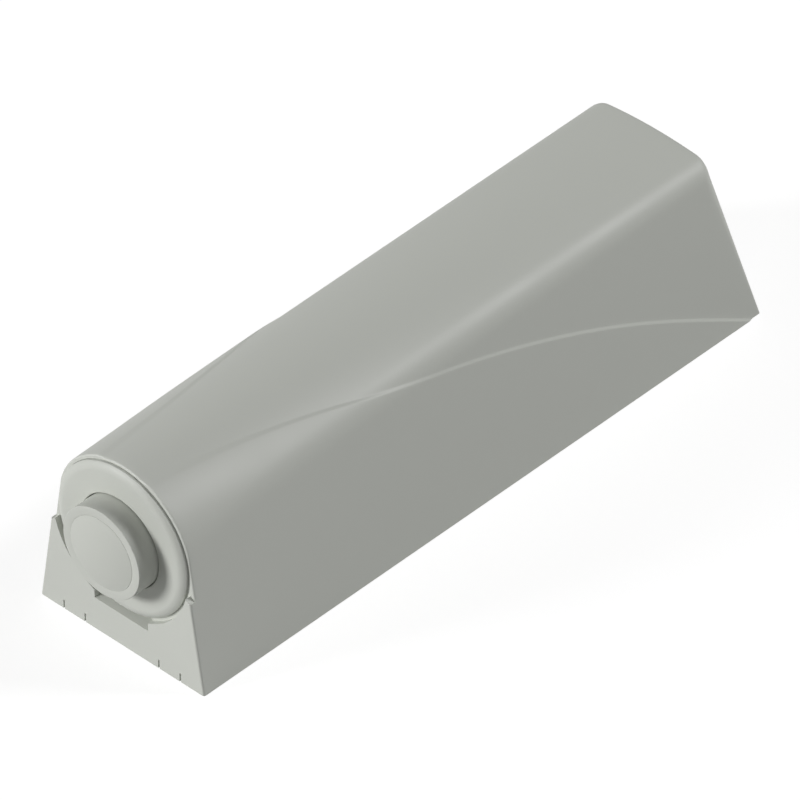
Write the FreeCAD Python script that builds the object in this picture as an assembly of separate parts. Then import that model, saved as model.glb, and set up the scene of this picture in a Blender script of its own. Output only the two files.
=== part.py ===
"""Surface-mounted push to open pin catch, in millimetres.

X runs across the housing, Y from the pin end to the rear, Z up from the mounting face.
Positions along Y are written from the front face of the bib and moved to the datum at the
end: the datum is the middle of the two screw holes, on the mounting face.
"""
import os
from math import acos, atan2, cos, radians, sin, sqrt, tan

import FreeCAD, Part

V = FreeCAD.Vector

# Housing shell
side_cover = 0.237
top_cover = 0.29
side_draft = 8.86
rear_lean = 12.7
shell_wall = 1.35
front_wall = 1.65
top_fall = 1.2
arch_ease = 0.04
crown_radius_rear = 35.4
shoulder_front = 3.6
shoulder_rear = 2.06
rear_edge_radius = 0.35
rim_edge_radius = 0.3
bib_edge_radius = 0.2
crease_step = 0.12
crease_shares = (
    (0.0, 0.013),
    (0.197, 0.067),
    (0.391, 0.168),
    (0.619, 0.387),
    (0.792, 0.634),
    (0.992, 1.01),
)

# Bib below the pin
rim_setback = 0.55
ear_height = 8.65
ear_flat = 0.15
ear_rise = 0.3
seat_gap = 0.38
slot_width = 5.9
slot_floor_height = 3.2
slot_depth = 1.2
slot_ramp = 0.25
inner_mark_place = 4.12
outer_mark_place = 6.48
mark_height = 0.87
mark_width = 0.16
mark_depth = 0.12

# Pin axis, how far a cut runs past the face it opens, and what counts as the same place
axis_height = 10.75
past = 1.0
near = 1e-3

# Mounting plate
plate_thickness = 2.8
plate_foot_height = 1.2
plate_foot_inset = 0.75
plate_gap = 0.15
screw_spacing = 32.0
first_screw_from_front = 14.0
screw_hole_radius = 1.9
screw_head_radius = 3.6
hook_length = 8.0
hook_gap = 0.2
hook_height = 0.65
hook_lift = 0.35
plate_corner_radius = 0.8
plate_edge_chamfer = 0.25

# Cartridge barrel
flange_radius = 7.0
flange_proud = 0.2
flange_round = 1.15
barrel_radius = 4.95
barrel_wall = 0.69
barrel_in_housing = 0.05
tube_wall = 1.2
key_width = 1.0
key_depth = 0.4
key_from_front = 5.0
key_length = 3.0
guide_ring_from_front = 1.2
guide_ring_length = 1.2
guide_ring_bed = 0.34
guide_ring_gap = 0.04
clip_thickness = 0.5
clip_bed = 0.25
clip_reach = 0.65
clip_mouth = 100.0
clip_behind_tube = 0.05
barrel_behind_clip = 0.4

# Nose
nose_reach = 2.27
nose_radius = 4.18
nose_length = 5.77
nose_edge_radius = 0.18
pad_radius = 3.55
pad_depth = 0.9
pad_setback = 0.05
pad_dome = 0.25
pad_gap = 0.04
cap_hollow_inner = 2.3
cap_hollow_outer = 3.4
cap_hollow_depth = 2.2
stud_radius = 1.4
stud_length = 12.6
stud_cover = 0.3

# Plunger
running_gap = 0.08
head_gap = 0.2
guide_length = 25.5
tail_radius = 3.3
hollow_radius = 2.4
journal_radius = 2.95
detent_bore_radius = 3.3
detent_bore_depth = 1.9
detent_thickness = 0.75
detent_notches = 12
detent_notch_width = 0.35
detent_notch_depth = 0.15
detent_spring_thickness = 0.15
detent_spring_rise = 0.15
detent_spring_gap = 0.25
stud_gap = 0.06
front_web = 3.6
keyway_gap = 0.1

# Travel
stroke_out = 20.0
press_travel = 1.1
cam_height = 0.8
cam_gap = 0.2

# Cam sleeve, index rotor and end cap
sleeve_room = 0.5
sleeve_ring = 1.0
stop_gap = 0.2
rib_bore_radius = 3.5
groove_width = 1.9
lug_side_gap = 0.1
lug_length = 2.2
lug_reach_gap = 0.14
rotor_inset = 0.3
rotor_end_gap = 0.1
washer_thickness = 0.2
rotor_clip_thickness = 0.5
rotor_clip_bed = 0.25
rotor_clip_reach = 0.3
rotor_clip_mouth = 70.0
tail_end_length = 0.4
lug_count = 4
crown_lag = 11.0
plug_length = 0.8
cap_thickness = 1.0
buffer_thickness = 0.6
buffer_gap = 0.1
buffer_bore_gap = 0.15
cap_recess_radius = 3.4
press_gap = 0.02

# Spring and guide rod
spring_mean_radius = 1.95
spring_wire_radius = 0.25
spring_turns = 21
seat_thickness = 0.4
rod_radius = 1.25
rod_length = 36.8
rod_cover = 0.3
rod_gap = 0.01
seat_gap_inside = 0.1

# Room behind the cartridge
rear_gap = 1.7

# Radii that follow
barrel_bore = barrel_radius - barrel_wall
housing_bore = barrel_radius + barrel_in_housing
seat_radius = flange_radius + seat_gap
sleeve_radius = barrel_bore - press_gap
lug_radius = barrel_bore - lug_reach_gap
rotor_radius = rib_bore_radius - running_gap
lug_width = groove_width - 2 * lug_side_gap
cam_pitch = 180.0 / lug_count
cam_half_width = sleeve_radius * sin(radians(cam_pitch / 2))
cam_slope = cam_height / (2 * cam_half_width)

# Places along Y, from the bib's front face
flange_front = -flange_proud
nose_front = -nose_reach
nose_rear = nose_front + nose_length
pad_floor = nose_front + pad_depth
stud_front = pad_floor + stud_cover
plunger_front = nose_rear + head_gap
detent_floor = plunger_front + detent_bore_depth
hollow_front = detent_floor + front_web
guide_end = plunger_front + guide_length
sleeve_front = guide_end + press_travel + sleeve_room
groove_front = sleeve_front + sleeve_ring
lug_tip = groove_front + stop_gap + stroke_out
sleeve_tip = lug_tip - cam_gap
lug_back = lug_tip + lug_length + cam_height
rotor_front = lug_tip + rotor_inset
rotor_back = lug_back - rotor_inset
journal_front = rotor_front - rotor_end_gap - washer_thickness
rotor_clip_front = rotor_back + rotor_end_gap
tail_end = rotor_clip_front + rotor_clip_thickness + tail_end_length
crown_tip = lug_back + press_travel + cam_gap / 2
crown_root = crown_tip + cam_height
barrel_end = crown_root + plug_length
cap_end = barrel_end + cap_thickness
buffer_front = tail_end + press_travel + buffer_gap
cap_recess = buffer_front + buffer_thickness
rod_end = cap_end - rod_cover
clip_front = barrel_end - barrel_behind_clip - clip_thickness
tube_end = clip_front - clip_behind_tube
datum_from_front = first_screw_from_front + screw_spacing / 2

# Housing sizes that follow
lean = tan(radians(rear_lean))
draft = tan(radians(side_draft))
top_front = axis_height + flange_radius + top_cover
side_reach = flange_radius + side_cover + axis_height * sin(radians(side_draft))
base_width = 2 * (side_reach + crease_step) / cos(radians(side_draft))
arch_centre = (top_front - side_reach) / (1 - sin(radians(side_draft)))
arch_radius = top_front - arch_centre + arch_ease
wall_along = shell_wall / cos(radians(rear_lean))
cap_top = axis_height + barrel_radius
housing_length = cap_end + rear_gap + wall_along + lean * cap_top
top_rear = top_front - top_fall
crown_end = housing_length - lean * top_rear
cavity_front = rim_setback + front_wall
inner_foot_half = (side_reach - shell_wall) / cos(radians(side_draft))
plate_half = inner_foot_half - draft * plate_thickness - plate_gap
plate_foot_half = plate_half - plate_foot_inset
plate_front = cavity_front + plate_gap
plate_rear = housing_length - wall_along - lean * plate_thickness - plate_gap
screw_places = (first_screw_from_front, first_screw_from_front + screw_spacing)


def at_datum(shape):
    """Move a shape from the front-face measure to the datum."""
    moved = shape.copy()
    moved.translate(V(0, -datum_from_front, 0))
    return moved


def cylinder(radius, front, back, x=0.0, z=axis_height):
    """A solid cylinder along Y."""
    return Part.makeCylinder(radius, back - front, V(x, front, z), V(0, 1, 0))


def ring(inner, outer, front, back):
    """A tube along Y about the pin axis."""
    return cylinder(outer, front, back).cut(cylinder(inner, front - past, back + past))


def box(x0, x1, y0, y1, z0, z1):
    """A box between two corners."""
    return Part.makeBox(x1 - x0, y1 - y0, z1 - z0, V(x0, y0, z0))


def turned(shape, angle):
    """A copy turned about the pin axis."""
    copy = shape.copy()
    copy.rotate(V(0, 0, axis_height), V(0, 1, 0), angle)
    return copy


def revolved(profile):
    """A solid of revolution about the pin axis from (radius, y) points."""
    points = [V(r, y, axis_height) for r, y in profile]
    face = Part.Face(Part.makePolygon(points + points[:1]))
    return face.revolve(V(0, 0, axis_height), V(0, 1, 0), 360)


def section(y, grow):
    """One cross-section of the housing: drafted sides, round shoulders and a crowned top.

    The shoulder circle touches the side line and the crown circle from inside. grow moves
    the whole outline outwards.
    """
    share = max(y, 0.0) / crown_end
    blend = min(share, 1.0)
    crown = 1.0 / ((1 - blend) / arch_radius + blend / crown_radius_rear) + grow
    shoulder = shoulder_front + (shoulder_rear - shoulder_front) * blend + grow
    top = top_front - top_fall * share + grow
    side = radians(side_draft)
    reach = side_reach + grow
    centre = top - crown
    # the shoulder's centre lies on the side line moved in by its radius
    inset = reach - shoulder
    slope = tan(side)
    a = 1 + slope ** 2
    b = -2 * inset / cos(side) * slope - 2 * centre
    c = (inset / cos(side)) ** 2 + centre ** 2 - (crown - shoulder) ** 2
    cz = (-b + sqrt(b * b - 4 * a * c)) / (2 * a)
    cx = inset / cos(side) - slope * cz
    foot = V(reach / cos(side), y, 0)
    low = V(cx + shoulder * cos(side), y, cz + shoulder * sin(side))
    meet = atan2(cz - centre, cx)
    high = V(crown * cos(meet), y, centre + crown * sin(meet))
    mid_angle = (side + meet) / 2
    mid = V(cx + shoulder * cos(mid_angle), y, cz + shoulder * sin(mid_angle))
    peak = V(0, y, centre + crown)

    def other(point):
        return V(-point.x, point.y, point.z)

    edges = [
        Part.makeLine(foot, low),
        Part.Arc(low, mid, high).toShape(),
        Part.Arc(high, peak, other(high)).toShape(),
        Part.Arc(other(high), other(mid), other(low)).toShape(),
        Part.makeLine(other(low), other(foot)),
        Part.makeLine(other(foot), foot),
    ]
    return Part.Wire(edges)


def body(grow):
    """The housing's outer form as a solid, with its rear face leaning forward."""
    shares = (0.0, 0.1, 0.22, 0.4, 0.6, 0.8, 1.0)
    places = [crown_end * share for share in shares]
    places.append(housing_length + 2 * shell_wall)
    loft = Part.makeLoft([section(y, grow) for y in places], True, False)
    foot = housing_length + grow / cos(radians(rear_lean))
    head = 2 * top_front
    profile = [
        V(-base_width, foot + lean * shell_wall, -shell_wall),
        V(-base_width, foot - lean * head, head),
        V(-base_width, foot + head, head),
        V(-base_width, foot + head, -shell_wall),
    ]
    behind = Part.Face(Part.makePolygon(profile + profile[:1])).extrude(V(2 * base_width, 0, 0))
    return loft.cut(behind)


def rear_edges(shape):
    """The edges round the rear face, without the one on the base."""
    found = []
    for edge in shape.Edges:
        middle = edge.CenterOfMass
        on_rear = abs(middle.y - (housing_length - lean * middle.z)) < rear_edge_radius
        if on_rear and edge.BoundBox.ZMax > shell_wall:
            found.append(edge)
    return found


def rim_edges(shape):
    """The edges round the arch at the rim's plane, without the one on the base."""
    found = []
    for edge in shape.Edges:
        span = edge.BoundBox
        in_plane = abs(span.YMin - rim_setback) < near and abs(span.YMax - rim_setback) < near
        if in_plane and span.ZMax > shell_wall:
            found.append(edge)
    return found


def bib_edges(shape):
    """The two upright edges at the sides of the bib's face."""
    tall = ear_height / 2
    return [e for e in shape.Edges if e.BoundBox.YMax < near and e.BoundBox.ZLength > tall]


def bib_block():
    """The space that the bib fills, up to its two ears."""
    wide = base_width
    tip = base_width / 2 - draft * ear_height - ear_flat
    inner = sqrt(seat_radius ** 2 - (axis_height - ear_height - ear_rise) ** 2)
    outline = [(wide, -past), (wide, ear_height), (tip, ear_height), (inner, ear_height + ear_rise)]
    outline += [(-x, z) for x, z in reversed(outline)]
    points = [V(x, -past, z) for x, z in outline]
    depth = past + rim_setback + 2 * rim_edge_radius
    return Part.Face(Part.makePolygon(points + points[:1])).extrude(V(0, depth, 0))


def rounded_body(grow):
    """The outer form with its bib, flange seat, rim and rounded rear."""
    whole = body(grow)
    high = 2 * top_front
    behind_rim = whole.cut(box(-base_width, base_width, -past, rim_setback, -past, high))
    behind_rim = behind_rim.makeFillet(rear_edge_radius, rear_edges(behind_rim))
    behind_rim = behind_rim.makeFillet(rim_edge_radius, rim_edges(behind_rim))
    bib = whole.common(bib_block())
    bib = bib.makeFillet(bib_edge_radius, bib_edges(bib))
    return behind_rim.fuse(bib).cut(cylinder(seat_radius, -past, rim_setback))


def below_crease():
    """The space below the crease, which falls in one long curve from the arch to the base."""
    points = []
    for share, drop in crease_shares:
        points.append(V(-base_width, share * housing_length, top_front * (1 - drop)))
    curve = Part.BSplineCurve()
    curve.interpolate(points)
    start, end = points[0], points[-1]
    corners = [
        end,
        V(end.x, 2 * housing_length, end.z - housing_length),
        V(end.x, -past, end.z - housing_length),
        V(start.x, -past, start.z),
        start,
    ]
    edges = [curve.toShape()] + Part.makePolygon(corners).Edges
    return Part.Face(Part.Wire(edges)).extrude(V(2 * base_width, 0, 0))


def housing_shell():
    """The moulded cover: bib, arch, crease, tube for the cartridge and snap hooks inside."""
    outer = rounded_body(0.0).fuse(rounded_body(crease_step).common(below_crease()))
    hollow = body(-shell_wall)
    hollow = hollow.cut(box(-base_width, base_width, -past, cavity_front, -past, 2 * top_front))
    tube = cylinder(housing_bore + tube_wall, cavity_front - front_wall / 2, tube_end)
    shell = outer.cut(hollow).fuse(tube.common(body(-shell_wall / 2)))
    for place in screw_places:
        low, high = hook_lift, hook_lift + hook_height
        start, end = place - hook_length / 2, place + hook_length / 2
        reach, root = plate_foot_half + hook_gap, inner_foot_half + shell_wall / 2
        shell = shell.fuse(box(reach, root, start, end, low, high))
        shell = shell.fuse(box(-root, -reach, start, end, low, high))
    shell = shell.cut(cylinder(housing_bore, -past, cap_end + rear_gap / 2))
    slot_top = axis_height - flange_radius + seat_gap
    slope = [
        V(-slot_width / 2, -past, slot_floor_height),
        V(-slot_width / 2, 0, slot_floor_height),
        V(-slot_width / 2, slot_depth, slot_floor_height + slot_ramp),
        V(-slot_width / 2, slot_depth, slot_top),
        V(-slot_width / 2, -past, slot_top),
    ]
    slot = Part.Face(Part.makePolygon(slope + slope[:1])).extrude(V(slot_width, 0, 0))
    shell = shell.cut(slot)
    for place in (inner_mark_place, outer_mark_place):
        for x in (-place, place):
            half = mark_width / 2
            shell = shell.cut(box(x - half, x + half, -past, mark_depth, -past, mark_height))
    return shell.removeSplitter()


def mounting_plate():
    """The plate screwed to the cabinet: a wide top over a narrower foot, two sunk holes."""
    top = box(-plate_half, plate_half, plate_front, plate_rear, plate_foot_height, plate_thickness)
    foot = box(-plate_foot_half, plate_foot_half, plate_front, plate_rear, 0, plate_foot_height)
    upright = [e for e in top.Edges if e.BoundBox.ZMax - e.BoundBox.ZMin > plate_foot_height]
    top = top.makeFillet(plate_corner_radius, upright)
    over = [e for e in top.Edges if e.BoundBox.ZMin > plate_thickness - near]
    top = top.makeChamfer(plate_edge_chamfer, over)
    plate = top.fuse(foot.common(top_prism(top)))
    sink = screw_head_radius - screw_hole_radius
    for place in screw_places:
        hole = Part.makeCylinder(screw_hole_radius, plate_thickness + 2 * past, V(0, place, -past))
        cone_foot = V(0, place, plate_thickness - sink)
        cone = Part.makeCone(screw_hole_radius, screw_head_radius, sink, cone_foot)
        plate = plate.cut(hole).cut(cone)
    return plate.removeSplitter()


def top_prism(top):
    """The plan of the plate's top carried down to the mounting face."""
    under = min(top.Faces, key=lambda face: face.CenterOfMass.z)
    return under.extrude(V(0, 0, -plate_foot_height))


def cartridge_barrel():
    """The sleeve with its front flange, a key for the plunger and beds for two rings."""
    turn = acos(1 - (rim_setback - flange_front) / flange_round)
    centre = flange_radius - flange_round * sin(turn)
    middle = turn / 2

    def on_round(angle):
        r = centre + flange_round * sin(angle)
        return V(r, flange_front + flange_round * (1 - cos(angle)), axis_height)

    corners = [
        V(flange_radius, rim_setback, axis_height),
        V(barrel_radius, rim_setback, axis_height),
        V(barrel_radius, barrel_end, axis_height),
        V(barrel_bore, barrel_end, axis_height),
        V(barrel_bore, flange_front, axis_height),
        V(centre, flange_front, axis_height),
    ]
    edge = Part.Arc(on_round(0), on_round(middle), on_round(turn)).toShape()
    face = Part.Face(Part.Wire([edge] + Part.makePolygon(corners).Edges))
    barrel = face.revolve(V(0, 0, axis_height), V(0, 1, 0), 360)
    key_foot = axis_height - barrel_bore
    key_end = key_from_front + key_length
    low, high = key_foot - barrel_wall / 2, key_foot + key_depth
    key = box(-key_width / 2, key_width / 2, key_from_front, key_end, low, high)
    bed_end = guide_ring_from_front + guide_ring_length
    barrel = barrel.fuse(key)
    bed = ring(barrel_bore / 2, barrel_bore + guide_ring_bed, guide_ring_from_front, bed_end)
    clip_bed_radius = barrel_radius - clip_bed
    clip_end = clip_front + clip_thickness
    return barrel.cut(bed).cut(ring(clip_bed_radius, barrel_radius + past, clip_front, clip_end))


def open_ring(inner, outer, front, back, mouth):
    """A ring along the pin axis with a mouth, in degrees, left open at the top."""
    reach = 2 * outer
    side = radians(mouth / 2)
    corners = [
        V(0, front - past, axis_height),
        V(reach * sin(side), front - past, axis_height + reach * cos(side)),
        V(0, front - past, axis_height + 2 * reach),
        V(-reach * sin(side), front - past, axis_height + reach * cos(side)),
    ]
    depth = back - front + 2 * past
    wedge = Part.Face(Part.makePolygon(corners + corners[:1])).extrude(V(0, depth, 0))
    return ring(inner, outer, front, back).cut(wedge)


def barrel_clip():
    """The spring clip that holds the cartridge behind the housing's tube."""
    inner = barrel_radius - clip_bed + press_gap
    outer = barrel_radius + clip_reach
    back = clip_front + clip_thickness
    return open_ring(inner, outer, clip_front + press_gap, back, clip_mouth)


def guide_ring():
    """The soft ring in the barrel's mouth that steadies the nose."""
    outer = barrel_bore + guide_ring_bed - press_gap
    back = guide_ring_from_front + guide_ring_length - press_gap
    return ring(nose_radius + guide_ring_gap, outer, guide_ring_from_front + press_gap, back)


def cam_teeth(inner, outer, root, rise):
    """A ring of sloped teeth on the plane y = root, rising by rise towards the next pitch."""
    step = abs(rise)
    span = outer * sin(radians(cam_pitch / 2))
    side = 1 if rise > 0 else -1
    slope = [
        V(-span, root - side * step, axis_height),
        V(span, root - side * step, axis_height),
        V(span, root + rise, axis_height),
        V(-span, root, axis_height),
    ]
    ramp = Part.Face(Part.makePolygon(slope + slope[:1])).extrude(V(0, 0, 2 * outer))
    half = radians(cam_pitch / 2)
    reach = 3 * outer
    low = min(root, root + rise)
    corners = [V(0, low, axis_height)]
    for x in (reach * sin(half), -reach * sin(half)):
        corners.append(V(x, low, axis_height + reach * cos(half)))
    wedge = Part.Face(Part.makePolygon(corners + corners[:1])).extrude(V(0, step, 0))
    tooth = wedge.common(ramp).common(ring(inner, outer, low, low + step))
    teeth = [turned(tooth, index * cam_pitch) for index in range(2 * lug_count)]
    return teeth[0].fuse(teeth[1:])


def cam_sleeve():
    """The fixed sleeve: four grooves for the lugs, with sloped stops between them."""
    root = sleeve_tip - cam_height
    sleeve = ring(tail_radius + running_gap, sleeve_radius, sleeve_front, groove_front)
    sleeve = sleeve.fuse(ring(rib_bore_radius, sleeve_radius, groove_front, root))
    sleeve = sleeve.fuse(cam_teeth(rib_bore_radius, sleeve_radius, root, cam_height))
    half = groove_width / 2
    high = axis_height + 2 * sleeve_radius
    groove = box(-half, half, groove_front, sleeve_tip + past, axis_height, high)
    for index in range(lug_count):
        sleeve = sleeve.cut(turned(groove, index * 2 * cam_pitch))
    return sleeve.removeSplitter()


def index_rotor():
    """The ring that turns an eighth at each push: four lugs with sloped ends."""
    body_ring = ring(journal_radius + running_gap, rotor_radius, rotor_front, rotor_back)
    half = lug_width / 2
    drop = cam_slope * lug_width
    outline = [
        V(-half, lug_tip, axis_height),
        V(half, lug_tip + drop, axis_height),
        V(half, lug_back - drop, axis_height),
        V(-half, lug_back, axis_height),
    ]
    bar = Part.Face(Part.makePolygon(outline + outline[:1])).extrude(V(0, 0, 2 * lug_radius))
    lug = bar.common(ring(tail_radius + running_gap, lug_radius, lug_tip - past, lug_back + past))
    for index in range(lug_count):
        body_ring = body_ring.fuse(turned(lug, index * 2 * cam_pitch))
    return body_ring.removeSplitter()


def end_cap():
    """The plug that closes the barrel, with a crown of sloped teeth facing the rotor."""
    cap = cylinder(sleeve_radius, crown_root, barrel_end)
    cap = cap.fuse(cylinder(barrel_radius, barrel_end, cap_end))
    teeth = cam_teeth(rib_bore_radius, sleeve_radius, crown_root, -cam_height)
    cap = cap.fuse(turned(teeth, crown_lag))
    cap = cap.cut(cylinder(cap_recess_radius, crown_tip - past, cap_recess))
    return cap.cut(cylinder(rod_radius + rod_gap, cap_recess - past, rod_end)).removeSplitter()


def end_buffer():
    """The rubber ring that the plunger's tail meets when it is pushed right in."""
    inner = hollow_radius + seat_gap_inside
    return ring(inner, cap_recess_radius - buffer_bore_gap, buffer_front, cap_recess)


def guide_rod():
    """The steel rod that keeps the spring straight."""
    rod = cylinder(rod_radius, rod_end - rod_length, rod_end)
    tip = [e for e in rod.Edges if abs(e.CenterOfMass.y - (rod_end - rod_length)) < near]
    return rod.makeChamfer(rod_radius / 3, tip)


def spring_seat(front):
    """A steel washer under one end of the spring."""
    return ring(stud_radius + stud_gap, hollow_radius - seat_gap_inside, front, front + seat_thickness)


def main_spring():
    """The coil spring that drives the plunger out."""
    start = hollow_front + seat_thickness + spring_wire_radius
    end = cap_recess - seat_thickness - spring_wire_radius
    height = end - start
    helix = Part.makeHelix(height / spring_turns, height, spring_mean_radius)
    circle = Part.makeCircle(spring_wire_radius, V(spring_mean_radius, 0, 0), V(0, 1, 0))
    coil = Part.Wire(helix).makePipeShell([Part.Wire(circle)], True, True)
    coil.rotate(V(0, 0, 0), V(1, 0, 0), -90)
    coil.translate(V(0, start, axis_height))
    return coil


def plunger_tube():
    """The sliding tube: guided front, slimmer tail, journal for the rotor."""
    tube = cylinder(nose_radius, plunger_front, guide_end)
    tube = tube.fuse(cylinder(tail_radius, guide_end, journal_front))
    tube = tube.fuse(cylinder(journal_radius, journal_front, tail_end))
    tube = tube.cut(cylinder(hollow_radius, hollow_front, tail_end + past))
    tube = tube.cut(cylinder(detent_bore_radius, plunger_front - past, detent_floor))
    tube = tube.cut(cylinder(stud_radius + stud_gap, plunger_front, hollow_front + past))
    half = key_width / 2 + keyway_gap
    way_top = axis_height - barrel_bore + key_depth + keyway_gap
    way_end = key_from_front + key_length + stroke_out + keyway_gap
    low = axis_height - 2 * nose_radius
    tube = tube.cut(box(-half, half, plunger_front - past, way_end, low, way_top))
    clip_end = rotor_clip_front + rotor_clip_thickness
    bed = ring(journal_radius - rotor_clip_bed, tail_radius + past, rotor_clip_front, clip_end)
    return tube.cut(bed).removeSplitter()


def thrust_washer():
    """The washer between the plunger's shoulder and the rotor."""
    back = journal_front + washer_thickness
    return ring(journal_radius + press_gap, tail_radius, journal_front, back)


def rotor_clip():
    """The open ring that keeps the rotor on its journal."""
    inner = journal_radius - rotor_clip_bed + press_gap
    outer = journal_radius + rotor_clip_reach
    front = rotor_clip_front + press_gap
    back = rotor_clip_front + rotor_clip_thickness - press_gap
    return open_ring(inner, outer, front, back, rotor_clip_mouth)


def detent_spring():
    """The dished washer that presses the click ring forward."""
    inner = stud_radius + detent_spring_gap
    outer = detent_bore_radius - running_gap
    thick = detent_spring_thickness
    back = detent_floor
    profile = [
        (outer, back),
        (outer, back - thick),
        (inner, back - thick - detent_spring_rise),
        (inner, back - detent_spring_rise),
    ]
    return revolved(profile)


def detent_ring():
    """The click ring that turns with the nose, notched on its rear face."""
    back = detent_floor - detent_spring_thickness - detent_spring_rise - running_gap
    outer = detent_bore_radius - running_gap
    click = ring(stud_radius + stud_gap, outer, back - detent_thickness, back)
    half = detent_notch_width / 2
    floor = back - detent_notch_depth
    low, high = axis_height + cap_hollow_inner, axis_height + 2 * nose_radius
    notch = box(-half, half, floor, back + past, low, high)
    for index in range(detent_notches):
        click = click.cut(turned(notch, index * 360.0 / detent_notches))
    return click


def nose_cap():
    """The turning head of the pin, with a round seat for the pad in its face."""
    cap = cylinder(nose_radius, nose_front, nose_rear)
    rims = [e for e in cap.Edges if abs(e.CenterOfMass.y - nose_front) < near]
    cap = cap.makeFillet(nose_edge_radius, rims)
    cap = cap.cut(cylinder(pad_radius + pad_gap, nose_front - past, pad_floor))
    hollow_floor = nose_rear - cap_hollow_depth
    cap = cap.cut(ring(cap_hollow_inner, cap_hollow_outer, hollow_floor, nose_rear + past))
    return cap.cut(cylinder(stud_radius + rod_gap, stud_front, nose_rear + past))


def adjusting_stud():
    """The threaded stud fixed in the nose, which screws into the plunger."""
    stud = cylinder(stud_radius, stud_front, stud_front + stud_length)
    tip = [e for e in stud.Edges if abs(e.CenterOfMass.y - stud_front - stud_length) < near]
    return stud.makeChamfer(stud_radius / 4, tip)


def bumper_pad():
    """The soft domed pad that meets the door."""
    rim = nose_front + pad_setback
    crown = nose_front - pad_dome
    edge_points = [
        V(0, pad_floor, axis_height),
        V(pad_radius, pad_floor, axis_height),
        V(pad_radius, rim, axis_height),
    ]
    height = rim - crown
    dome_radius = (pad_radius ** 2 + height ** 2) / (2 * height)
    share = pad_radius / 2
    middle = V(share, crown + dome_radius - sqrt(dome_radius ** 2 - share ** 2), axis_height)
    top = V(0, crown, axis_height)
    edges = Part.makePolygon(edge_points).Edges
    edges.append(Part.Arc(V(pad_radius, rim, axis_height), middle, top).toShape())
    edges.append(Part.makeLine(top, V(0, pad_floor, axis_height)))
    return Part.Face(Part.Wire(edges)).revolve(V(0, 0, axis_height), V(0, 1, 0), 360)


pieces = {
    "housing_shell": housing_shell(),
    "mounting_plate": mounting_plate(),
    "cartridge_barrel": cartridge_barrel(),
    "barrel_clip": barrel_clip(),
    "guide_ring": guide_ring(),
    "cam_sleeve": cam_sleeve(),
    "end_cap": end_cap(),
    "end_buffer": end_buffer(),
    "guide_rod": guide_rod(),
    "rear_spring_seat": spring_seat(cap_recess - seat_thickness),
    "main_spring": main_spring(),
    "plunger_tube": plunger_tube(),
    "front_spring_seat": spring_seat(hollow_front),
    "thrust_washer": thrust_washer(),
    "rotor_clip": rotor_clip(),
    "detent_spring": detent_spring(),
    "index_rotor": index_rotor(),
    "detent_ring": detent_ring(),
    "nose_cap": nose_cap(),
    "adjusting_stud": adjusting_stud(),
    "bumper_pad": bumper_pad(),
}

os.makedirs("parts", exist_ok=True)
for name, shape in pieces.items():
    placed = at_datum(shape)
    print(name, placed.isValid(), len(placed.Solids), round(placed.Volume, 2))
    placed.exportStep("parts/" + name + ".step")
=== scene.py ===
"""Dresses the push to open catch for a studio picture.

X runs across the housing, Y from the pin end to the rear, Z up from the mounting face. Sizes
are in millimetres, angles in degrees, and places along Y are taken from the front face of the
bib. Pieces are moved to the frame's datum and put in metres when their meshes are made.
"""
from __future__ import annotations

import logging
from dataclasses import dataclass, field
from enum import Enum

import bmesh
import bpy
import numpy as np
from mathutils import Matrix, Vector

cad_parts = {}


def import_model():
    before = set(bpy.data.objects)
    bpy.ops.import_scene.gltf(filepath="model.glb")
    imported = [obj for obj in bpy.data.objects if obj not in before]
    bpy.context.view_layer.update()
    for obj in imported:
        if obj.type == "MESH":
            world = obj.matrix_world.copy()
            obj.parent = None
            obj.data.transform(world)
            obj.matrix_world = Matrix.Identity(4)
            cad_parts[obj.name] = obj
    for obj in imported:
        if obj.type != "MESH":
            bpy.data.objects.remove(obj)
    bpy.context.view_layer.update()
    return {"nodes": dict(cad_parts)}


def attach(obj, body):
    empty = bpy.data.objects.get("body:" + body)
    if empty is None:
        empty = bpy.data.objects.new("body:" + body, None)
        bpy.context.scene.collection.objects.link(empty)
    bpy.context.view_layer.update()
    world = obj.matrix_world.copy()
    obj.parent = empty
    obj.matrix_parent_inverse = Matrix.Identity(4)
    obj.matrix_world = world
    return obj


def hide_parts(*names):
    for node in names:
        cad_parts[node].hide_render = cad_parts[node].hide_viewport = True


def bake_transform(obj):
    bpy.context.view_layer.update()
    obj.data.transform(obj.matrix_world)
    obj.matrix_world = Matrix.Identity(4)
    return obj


log = logging.getLogger("catch")

MM = 0.001
DATUM_FROM_FRONT = 30.0
PIN_HEIGHT = 10.75
RIM_PLACE = 0.55
SLEEVE_BORE = 4.26
MERGE_WITHIN = 2e-7  # metres
LINE_SQUEEZE = 0.06
SHARP, CRISP, EVEN, SOFT = 25.0, 30.0, 35.0, 40.0  # edges that turn more, in degrees, stay sharp


class Body(Enum):
    """The moving bodies of the catch."""

    HOUSING = "housing"
    PLUNGER = "plunger"
    NOSE = "nose"


class Slot(Enum):
    """The finishes that the record lists."""

    HOUSING = "housing_plastic"
    PLATE = "plate_plastic"
    FLANGE = "flange_plastic"
    PLUNGER = "plunger_plastic"
    NOSE = "nose_plastic"
    CAM = "cam_plastic"
    PAD = "pad_rubber"
    SOFT = "soft_rubber"
    STEEL = "plain_steel"
    SPRING = "spring_steel"


# Mesh tools


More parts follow.
